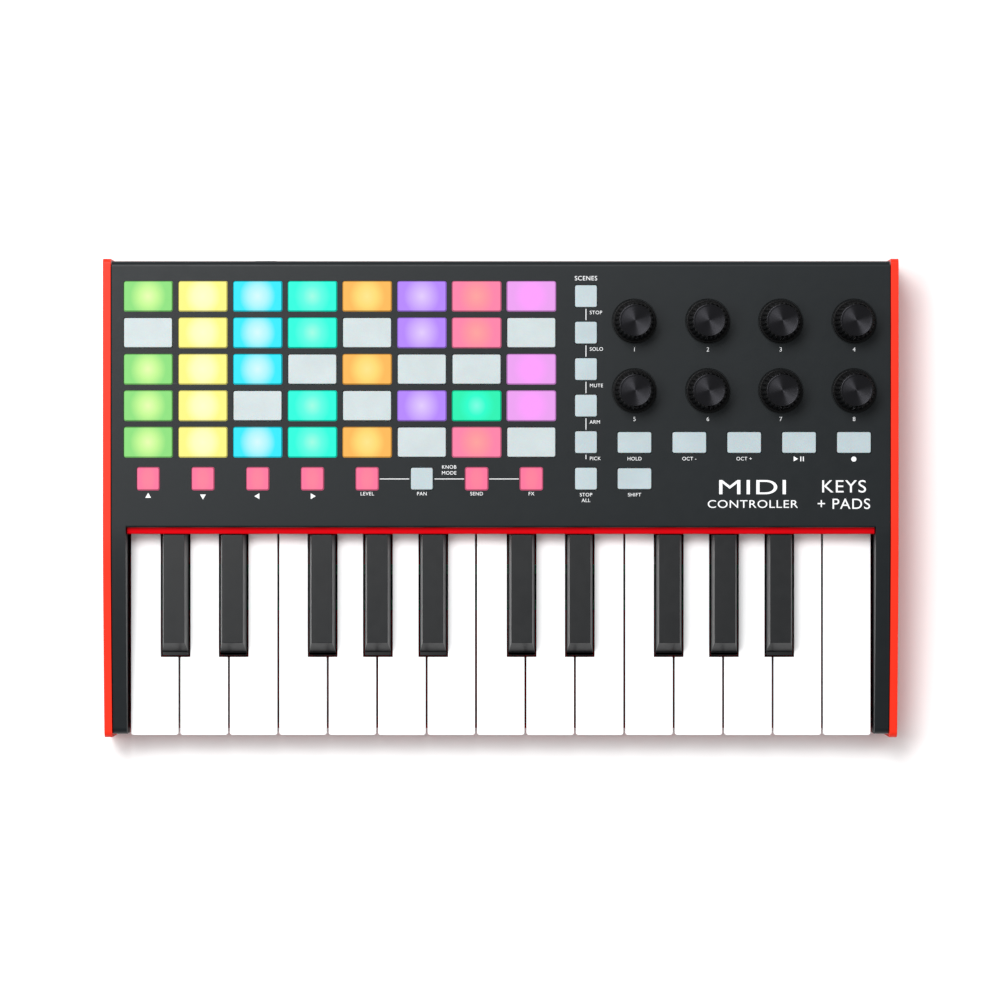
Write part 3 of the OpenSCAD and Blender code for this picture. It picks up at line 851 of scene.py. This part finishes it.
@dataclass
class KnobSet:
    """Endless rotary knobs: a flanged skirt, a fluted grip and a spun cap on a steel shaft."""

    finishes: Finishes
    flutes: int = 24
    points_per_flute: int = 8
    round_sides: int = 96
    shaft_sides: int = 48
    recess: float = 0.4 * MM
    skirt_r: float = 8.4 * MM
    skirt_h: float = 1.5 * MM
    grip_r: float = 7.8 * MM
    grip_top_r: float = 6.9 * MM
    cap_r: float = 6.15 * MM
    cap_h: float = 0.8 * MM
    cap_sunk: float = 0.3 * MM
    rim: float = 0.45 * MM
    rim_drop: float = 0.25 * MM
    dish: float = 2.6 * MM
    dish_drop: float = 0.1 * MM
    shaft_r: float = 2.98 * MM
    shaft_lap: float = 1 * MM
    grip_lap: float = 0.05 * MM
    grip_lip: float = 0.25 * MM
    flute_depth: float = 0.55 * MM
    skirt_edge: float = 0.35 * MM
    shaft_edge: float = 0.3 * MM
    grip_edge: float = 0.12 * MM
    cap_edge: float = 0.15 * MM

    def build(self) -> None:
        """Models one knob and copies it to each knob's place."""
        low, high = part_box("knob_1")
        master = self.model(low[2], panel_height() - self.recess, high[2])
        for number in range(1, KNOB_COUNT + 1):
            node = f"knob_{number}"
            piece = place_copy(master, f"{node}_fluted", Vector((*middle_of(node), 0)))
            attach(piece, node)
            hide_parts(node)
            LOG.info("knob %d", number)
        bpy.data.objects.remove(master)

    def cylinder(self, radius: float, low: float, high: float, sides: int) -> bpy.types.Object:
        """Adds an upright cylinder around the vertical axis through the origin."""
        deselect_all()
        bpy.ops.mesh.primitive_cylinder_add(vertices=sides, radius=radius, depth=high - low,
                                            location=(0, 0, (low + high) / 2))
        piece = bpy.context.object
        settle(piece)
        return piece

    def model(self, shaft_z: float, skirt_z: float, top_z: float) -> bpy.types.Object:
        """Models the knob.

        Args:
            shaft_z: Lower end of the shaft.
            skirt_z: Underside of the skirt.
            top_z: Top of the cap.

        Returns:
            The knob as one object with grip, cap and shaft materials.
        """
        grip_z = skirt_z + self.skirt_h
        skirt = self.cylinder(self.skirt_r, skirt_z, grip_z, self.round_sides)
        bevel_all(skirt, self.skirt_edge)
        grip = self.flute(self.cylinder(self.grip_r, grip_z - self.grip_lap, top_z - self.cap_h,
                                        self.flutes * self.points_per_flute))
        cap = self.turn_cap(top_z)
        shaft = self.cylinder(self.shaft_r, shaft_z, skirt_z + self.shaft_lap, self.shaft_sides)
        bevel_all(shaft, self.shaft_edge)
        for piece, material in ((skirt, self.finishes.knob_grip), (grip, self.finishes.knob_grip),
                                (cap, self.finishes.knob_cap), (shaft, self.finishes.steel)):
            dress(piece, material)
            self.map_flat(piece)
        return join([grip, skirt, cap, shaft], "knob_master")

    def flute(self, grip: bpy.types.Object) -> bpy.types.Object:
        """Tapers the grip and presses its flutes in."""
        points = grip.data.vertices
        top = max(point.co.z for point in points)
        for point in points:
            angle = math.atan2(point.co.y, point.co.x)
            dip = max(0.0, math.cos(angle * self.flutes)) ** 0.7
            radius = self.grip_top_r if point.co.z > top - 0.01 * MM else self.grip_r
            radius -= self.flute_depth * dip
            point.co.x = radius * math.cos(angle)
            point.co.y = radius * math.sin(angle)
        select_faces(grip, lambda f: f.normal.z > 0.5)
        bpy.ops.mesh.inset(thickness=self.grip_lip)
        bpy.ops.transform.translate(value=(0, 0, self.grip_lip))
        bpy.ops.object.mode_set(mode="OBJECT")
        bevel_all(grip, self.grip_edge, 2, 40)
        return grip

    def turn_cap(self, top_z: float) -> bpy.types.Object:
        """Models the cap: a raised rim around a shallow dished face."""
        cap = self.cylinder(self.cap_r, top_z - self.cap_h - self.cap_sunk, top_z, self.round_sides)
        select_faces(cap, lambda f: f.normal.z > 0.5)
        bpy.ops.mesh.inset(thickness=self.rim)
        bpy.ops.mesh.inset(thickness=self.rim_drop)
        bpy.ops.transform.translate(value=(0, 0, -self.rim_drop))
        bpy.ops.mesh.inset(thickness=self.dish)
        bpy.ops.transform.translate(value=(0, 0, -self.dish_drop))
        bpy.ops.object.mode_set(mode="OBJECT")
        bevel_all(cap, self.cap_edge, 2, 20)
        return cap

    def map_flat(self, piece: bpy.types.Object) -> None:
        """Writes a flat UV map, from -1 to 1 across the cap."""
        layer = piece.data.uv_layers.get("UVMap") or piece.data.uv_layers.new(name="UVMap")
        for loop in piece.data.loops:
            point = piece.data.vertices[loop.vertex_index].co
            layer.data[loop.index].uv = (point.x / self.cap_r, point.y / self.cap_r)


# ---------------------------------------------------------------- printed legends


class Mark(enum.Enum):
    """Small printed signs, as the number of sides and the turn of each."""

    UP = (3, 0.0)
    DOWN = (3, 180.0)
    LEFT = (3, 90.0)
    RIGHT = (3, -90.0)
    DOT = (24, 0.0)


@dataclass
class PanelPrint:
    """Generic white lettering and signs printed on the panel."""

    finishes: Finishes
    surface: ControlSurface
    ink: float = 0.03 * MM
    small: float = 1.35 * MM
    line: float = 0.3 * MM
    line_gap: float = 4.9 * MM
    pieces: list[bpy.types.Object] = field(default_factory=list)

    def write(self, words: str, x: float, y: float, size: float,
              align: str = "CENTER", wide: float = 1.0) -> None:
        """Prints words.

        Args:
            words: What to print.
            x: Middle or left end along the panel.
            y: Baseline's place towards the rear.
            size: Height of a capital letter.
            align: CENTER or LEFT.
            wide: How much the letters are widened.
        """
        deselect_all()
        bpy.ops.object.text_add(location=(0, 0, 0))
        text = bpy.context.object
        text.data.body = words
        text.data.align_x = align
        text.data.size = size / CAPITAL_SHARE
        text.data.extrude = self.ink / 2
        text.data.space_character = 1.08
        bpy.ops.object.convert(target="MESH")
        text = bpy.context.object
        text.scale = (wide, 1, 1)
        text.location = (x, y, self.top())
        settle(text)
        self.pieces.append(text)

    def top(self) -> float:
        """Gives the height of the middle of the ink on the panel."""
        return panel_height() + self.ink / 2

    def sign(self, mark: Mark, x: float, y: float, radius: float, offset: float = 0.0) -> None:
        """Prints a sign centred at a place."""
        sides, turn = mark.value
        deselect_all()
        bpy.ops.mesh.primitive_cylinder_add(vertices=sides, radius=radius, depth=self.ink,
                                            location=(x + offset, y, self.top()),
                                            rotation=(0, 0, math.radians(turn)))
        settle(bpy.context.object)
        self.pieces.append(bpy.context.object)

    def bar(self, low: tuple[float, float], high: tuple[float, float]) -> None:
        """Prints a filled rectangle between two corners."""
        deselect_all()
        middle = ((low[0] + high[0]) / 2, (low[1] + high[1]) / 2, self.top())
        bpy.ops.mesh.primitive_cube_add(size=1, location=middle,
                                        scale=(high[0] - low[0], high[1] - low[1], self.ink))
        settle(bpy.context.object)
        self.pieces.append(bpy.context.object)

    def build(self) -> None:
        """Prints every legend and joins them into one piece."""
        track_y = middle_of("track_buttons")[1]
        self.print_track_row(self.surface.column_centers(), track_y)
        self.print_soft_keys(track_y)
        self.print_functions(track_y)
        self.print_knobs()
        self.print_title()
        piece = join(self.pieces, "panel_legends")
        dress(piece, self.finishes.print_white)
        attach(piece, "case")
        LOG.info("legends: %d faces", len(piece.data.polygons))

    def print_track_row(self, columns: list[float], track_y: float) -> None:
        """Prints the arrows, the names and the line of the row under the pads."""
        arrows = (Mark.UP, Mark.DOWN, Mark.LEFT, Mark.RIGHT)
        for x, mark in zip(columns, arrows):
            self.sign(mark, x, track_y - 6.8 * MM, 1.3 * MM)
        for x, word in zip(columns[4:], ("LEVEL", "PAN", "SEND", "FX")):
            self.write(word, x, track_y - 6.5 * MM, self.small)
        low_y = track_y - 0.25 * MM
        for left, right in zip(columns[4:], columns[5:]):
            self.bar((left + self.line_gap, low_y), (right - self.line_gap, low_y + self.line))
        between = columns[5] + 10.6 * MM
        self.write("KNOB", between, track_y + 3.9 * MM, self.small)
        self.write("MODE", between, track_y + 1.6 * MM, self.small)

    def print_soft_keys(self, track_y: float) -> None:
        """Prints the heading, line and names of the column beside the pads."""
        x = middle_of("soft_buttons")[0]
        left, right = x - self.line / 2, x + self.line / 2
        ys = self.surface.row_centers()
        self.write("SCENES", x, ys[0] + 6.2 * MM, 1.7 * MM)
        for upper, lower in zip(ys, ys[1:]):
            self.bar((left, lower + self.line_gap), (right, upper - self.line_gap))
        for y, word in zip(ys, ("STOP", "SOLO", "MUTE", "ARM", "PICK")):
            self.write(word, x + 1.4 * MM, y - 7.0 * MM, self.small, "LEFT")
        self.bar((left, ys[-1] - 6.6 * MM), (right, ys[-1] - self.line_gap))
        self.write("STOP", x, track_y - 6.9 * MM, self.small)
        self.write("ALL", x, track_y - 9.1 * MM, self.small)

    def print_functions(self, track_y: float) -> None:
        """Prints what stands under the wide buttons and the shift button."""
        xs = self.surface.wide_centers()
        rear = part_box("function_buttons")[1][1]
        y = rear - self.surface.flange - self.surface.wide_size[1] - 2.9 * MM
        for x, word in zip(xs, ("HOLD", "OCT -", "OCT +")):
            self.write(word, x, y, self.small)
        self.sign(Mark.RIGHT, xs[3], y + 0.6 * MM, 1.15 * MM, -1.5 * MM)
        for step in (0.5, 1.5):
            self.bar((xs[3] + step * MM, y - 0.35 * MM), (xs[3] + (step + 0.4) * MM, y + 1.5 * MM))
        self.sign(Mark.DOT, xs[4], y + 0.5 * MM, 1.0 * MM)
        self.write("SHIFT", xs[0], track_y - 6.9 * MM, self.small)

    def print_knobs(self) -> None:
        """Prints each knob's number."""
        for number in range(1, KNOB_COUNT + 1):
            node = f"knob_{number}"
            self.write(str(number), middle_of(node)[0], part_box(node)[0][1] - 3.3 * MM, 1.6 * MM)

    def print_title(self) -> None:
        """Prints a plain generic title where such a panel has one."""
        low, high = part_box("function_buttons")
        title_x, kind_x, base = high[0] - 46.6 * MM, high[0] - 11.1 * MM, low[1]
        self.write("MIDI", title_x, base - 1.4 * MM, 5.6 * MM, wide=1.6)
        self.write("CONTROLLER", title_x, base - 6.7 * MM, 3.0 * MM, wide=1.2)
        self.write("KEYS", kind_x, base - 0.7 * MM, 4.8 * MM, wide=1.1)
        self.write("+ PADS", kind_x, base - 7.1 * MM, 4.0 * MM, wide=1.05)


# ---------------------------------------------------------------- studio


@dataclass
class Studio:
    """Pale floor, soft light from the rear left, and a camera straight above."""

    lens: float = 152.0
    sensor: float = 36.0
    view_width: float = 389.7 * MM
    panel_z: float = 29.5 * MM
    key_place: tuple[float, float, float] = (-0.38, 0.75, 1.6)
    key_size: float = 0.7
    key_power: float = 23.5
    gloss_place: tuple[float, float, float] = (-0.62, 0.2, 1.2)
    gloss_size: float = 0.5
    gloss_power: float = 6.0
    sky: float = 0.55
    floor_size: float = 8.0
    floor_drop: float = 0.1 * MM
    aim: tuple[float, float] = (-0.3 * MM, -0.6 * MM)

    def build(self) -> None:
        """Sets the floor, the lights and the camera."""
        self.lay_floor()
        self.hang_lights()
        self.aim_camera()
        scene = bpy.context.scene
        scene.view_settings.view_transform = "Standard"
        scene.view_settings.look = "None"
        LOG.info("studio set")

    def lay_floor(self) -> None:
        """Lays a large pale floor under the feet."""
        deselect_all()
        bpy.ops.mesh.primitive_plane_add(size=self.floor_size, location=(0, 0, -self.floor_drop))
        floor = bpy.context.object
        floor.name = "studio_floor"
        settle(floor)
        wiring = Wiring("floor_white")
        wiring.shader.inputs["Base Color"].default_value = (0.93, 0.93, 0.93, 1.0)
        wiring.shader.inputs["Roughness"].default_value = 0.85
        dress(floor, wiring.material)

    def hang_lights(self) -> None:
        """Adds the sky and two soft area lights."""
        world = bpy.data.worlds.new("studio_sky")
        bpy.context.scene.world = world
        world.use_nodes = True
        sky = world.node_tree.nodes["Background"]
        sky.inputs["Color"].default_value = (1.0, 1.0, 1.0, 1.0)
        sky.inputs["Strength"].default_value = self.sky
        self.area("key_light", self.key_place, self.key_size, self.key_power)
        self.area("gloss_light", self.gloss_place, self.gloss_size, self.gloss_power)

    def area(self, name: str, place: tuple[float, float, float], size: float, power: float) -> None:
        """Adds a square area light aimed at the middle of the object."""
        light = bpy.data.lights.new(name, "AREA")
        light.size = size
        light.energy = power
        lamp = bpy.data.objects.new(name, light)
        bpy.context.scene.collection.objects.link(lamp)
        lamp.location = place
        lamp.rotation_euler = (-Vector(place)).to_track_quat("-Z", "Y").to_euler()

    def aim_camera(self) -> None:
        """Places the camera straight above the panel."""
        data = bpy.data.cameras.new("top_camera")
        data.lens = self.lens
        data.sensor_width = self.sensor
        camera = bpy.data.objects.new("top_camera", data)
        bpy.context.scene.collection.objects.link(camera)
        distance = self.view_width * self.lens / self.sensor
        camera.location = (*self.aim, self.panel_z + distance)
        bpy.context.scene.camera = camera


def main() -> None:
    """Builds the keyboard in order."""
    logging.basicConfig(level=logging.INFO, format="%(name)s: %(message)s")
    Studio().build()
    finishes = Finishes()
    CaseShell(finishes).build()
    KeyBed(finishes).build()
    surface = ControlSurface(finishes)
    surface.build()
    KnobSet(finishes).build()
    PanelPrint(finishes, surface).build()
    deselect_all()


if __name__ == "__main__":
    main()
